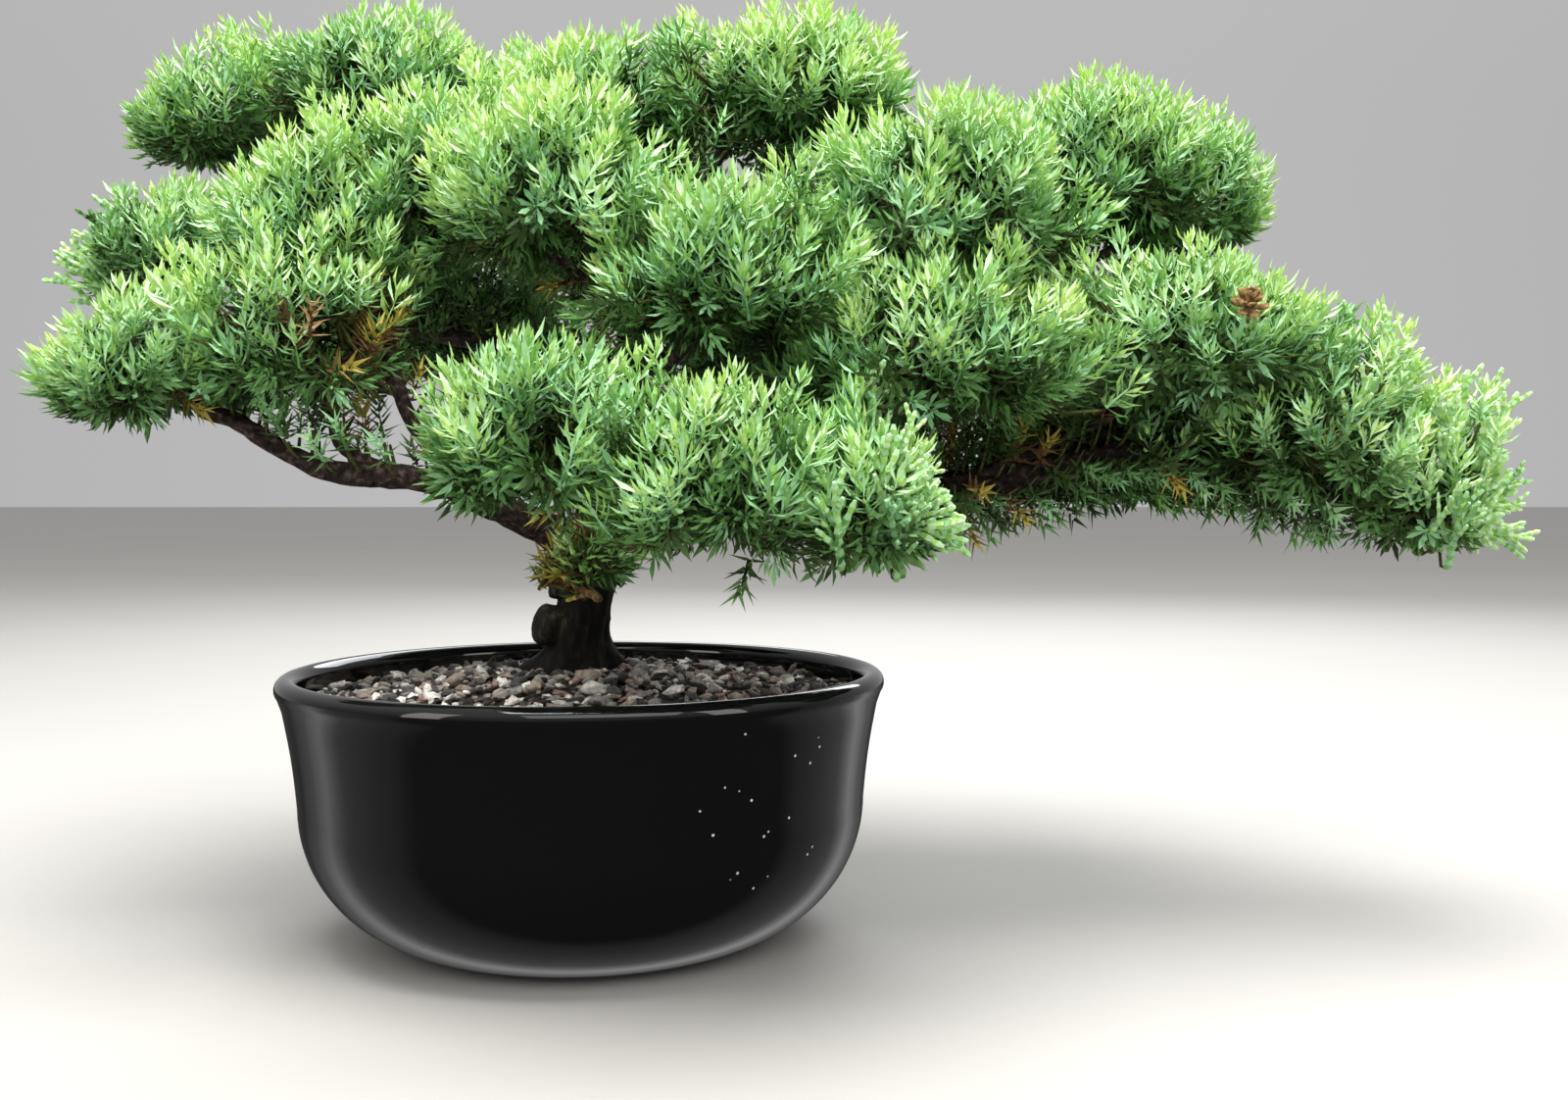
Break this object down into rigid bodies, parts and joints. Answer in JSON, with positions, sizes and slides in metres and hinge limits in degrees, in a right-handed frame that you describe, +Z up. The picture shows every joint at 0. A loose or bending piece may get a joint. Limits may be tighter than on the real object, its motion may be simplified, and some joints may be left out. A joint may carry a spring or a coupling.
{
  "type": "japanese juniper bonsai in a round bowl",
  "caption": "Low, wide juniper bonsai: a short leaning trunk and long thin boughs that carry cushions of needle foliage, planted in gravelly soil in a round black glazed bowl.",
  "frame": {"origin": "middle of the bowl's flat foot", "axes": "+Z up; +X along the tree's longer reach, to the right when seen from the front; -Y towards the front, where the lowest pads hang over the bowl's rim"},
  "size_m": [0.3915, 0.2257, 0.2523],
  "materials": {
    "black_glaze": "glossy black glaze",
    "gravel_soil": "dull, grey and brown grit",
    "juniper_bark": "rough, dark brown bark",
    "juniper_needles": "waxy green needles"
  },
  "bodies": {
    "root": {"bough_back_centre": "juniper_bark", "bough_back_far_right": "juniper_bark", "bough_back_left_tip": "juniper_bark", "bough_back_left_top": "juniper_bark", "bough_back_low_left": "juniper_bark", "bough_back_low_right": "juniper_bark", "bough_back_right": "juniper_bark", "bough_centre_crown": "juniper_bark", "bough_centre_front": "juniper_bark", "bough_front_left": "juniper_bark", "bough_front_middle": "juniper_bark", "bough_front_right": "juniper_bark", "bough_inner_right": "juniper_bark", "bough_left_behind": "juniper_bark", "bough_left_low": "juniper_bark", "bough_left_middle": "juniper_bark", "bough_left_upper": "juniper_bark", "bough_right_centre": "juniper_bark", "bough_right_middle": "juniper_bark", "bough_right_outer": "juniper_bark", "bough_right_shelf": "juniper_bark", "bough_right_tip": "juniper_bark", "bough_right_under": "juniper_bark", "bough_right_upper": "juniper_bark", "bough_right_upper_tip": "juniper_bark", "bough_top_middle": "juniper_bark", "bough_upper_left": "juniper_bark", "bowl": "black_glaze", "foliage_back_centre": "juniper_needles", "foliage_back_far_right": "juniper_needles", "foliage_back_left_tip": "juniper_needles", "foliage_back_left_top": "juniper_needles", "foliage_back_low_left": "juniper_needles", "foliage_back_low_right": "juniper_needles", "foliage_back_right": "juniper_needles", "foliage_centre_crown": "juniper_needles", "foliage_centre_front": "juniper_needles", "foliage_front_left": "juniper_needles", "foliage_front_middle": "juniper_needles", "foliage_front_right": "juniper_needles", "foliage_inner_right": "juniper_needles", "foliage_left_behind": "juniper_needles", "foliage_left_low": "juniper_needles", "foliage_left_middle": "juniper_needles", "foliage_left_upper": "juniper_needles", "foliage_right_centre": "juniper_needles", "foliage_right_middle": "juniper_needles", "foliage_right_outer": "juniper_needles", "foliage_right_shelf": "juniper_needles", "foliage_right_tip": "juniper_needles", "foliage_right_under": "juniper_needles", "foliage_right_upper": "juniper_needles", "foliage_right_upper_tip": "juniper_needles", "foliage_top_middle": "juniper_needles", "foliage_top_right": "juniper_needles", "foliage_trunk_sprig": "juniper_needles", "foliage_upper_left": "juniper_needles", "soil": "gravel_soil", "trunk": "juniper_bark"}
  },
  "joints": []
}
